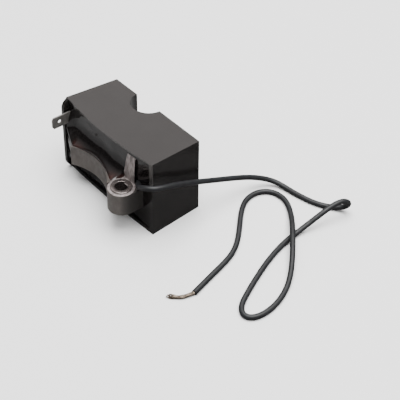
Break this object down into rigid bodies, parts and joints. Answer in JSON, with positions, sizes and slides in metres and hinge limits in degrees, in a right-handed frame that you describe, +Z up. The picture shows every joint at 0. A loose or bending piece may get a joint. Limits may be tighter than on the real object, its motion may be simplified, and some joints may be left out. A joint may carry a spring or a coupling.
{
  "type": "ignition coil",
  "caption": "Potted ignition coil for a small engine: dark case filled with resin, laminated core with a mounting ear, kill tab, ground strap and one thin lead.",
  "frame": {"origin": "under the middle of the coil without its lead, on the plane of the closed long side that it rests on", "axes": "+X along the case towards the mounting ear, +Y from the open front with the core to the closed back, +Z up from the rest face, along the screw hole's axis"},
  "size_m": [0.1384, 0.1031, 0.0418],
  "materials": {
    "case": "satin",
    "resin": "gloss",
    "core_steel": "bare",
    "plated_steel": "satin",
    "tab_metal": "satin",
    "copper_wire": "gloss",
    "bobbin_plastic": "matte",
    "paper": "matte",
    "board": "satin",
    "black_epoxy": "matte",
    "capacitor_film": "gloss",
    "resistor_body": "gloss",
    "solder": "bright",
    "terminal_brass": "bright",
    "lead_rubber": "satin",
    "bare_strands": "bright"
  },
  "bodies": {
    "root": {"housing": "case", "potting": "resin", "core_plates": "core_steel", "core_rivets": "plated_steel", "mounting_eyelet": "plated_steel", "ground_strap": "plated_steel", "kill_tab": "tab_metal", "primary_bobbin": "bobbin_plastic", "primary_winding": "copper_wire", "insulating_sleeve": "paper", "secondary_bobbin": "bobbin_plastic", "secondary_winding": "copper_wire", "bobbin_pins": "solder", "trigger_bobbin": "bobbin_plastic", "trigger_winding": "copper_wire", "circuit_board": "board", "power_transistor": "black_epoxy", "thyristor": "black_epoxy", "film_capacitor": "capacitor_film", "resistors": "resistor_body", "diode": "black_epoxy", "solder_joints": "solder", "primary_wires": "copper_wire", "tab_wire": "copper_wire", "ground_wire": "solder", "output_wire": "copper_wire", "lead_terminal": "terminal_brass", "lead": "lead_rubber", "lead_strands": "bare_strands"}
  },
  "joints": []
}
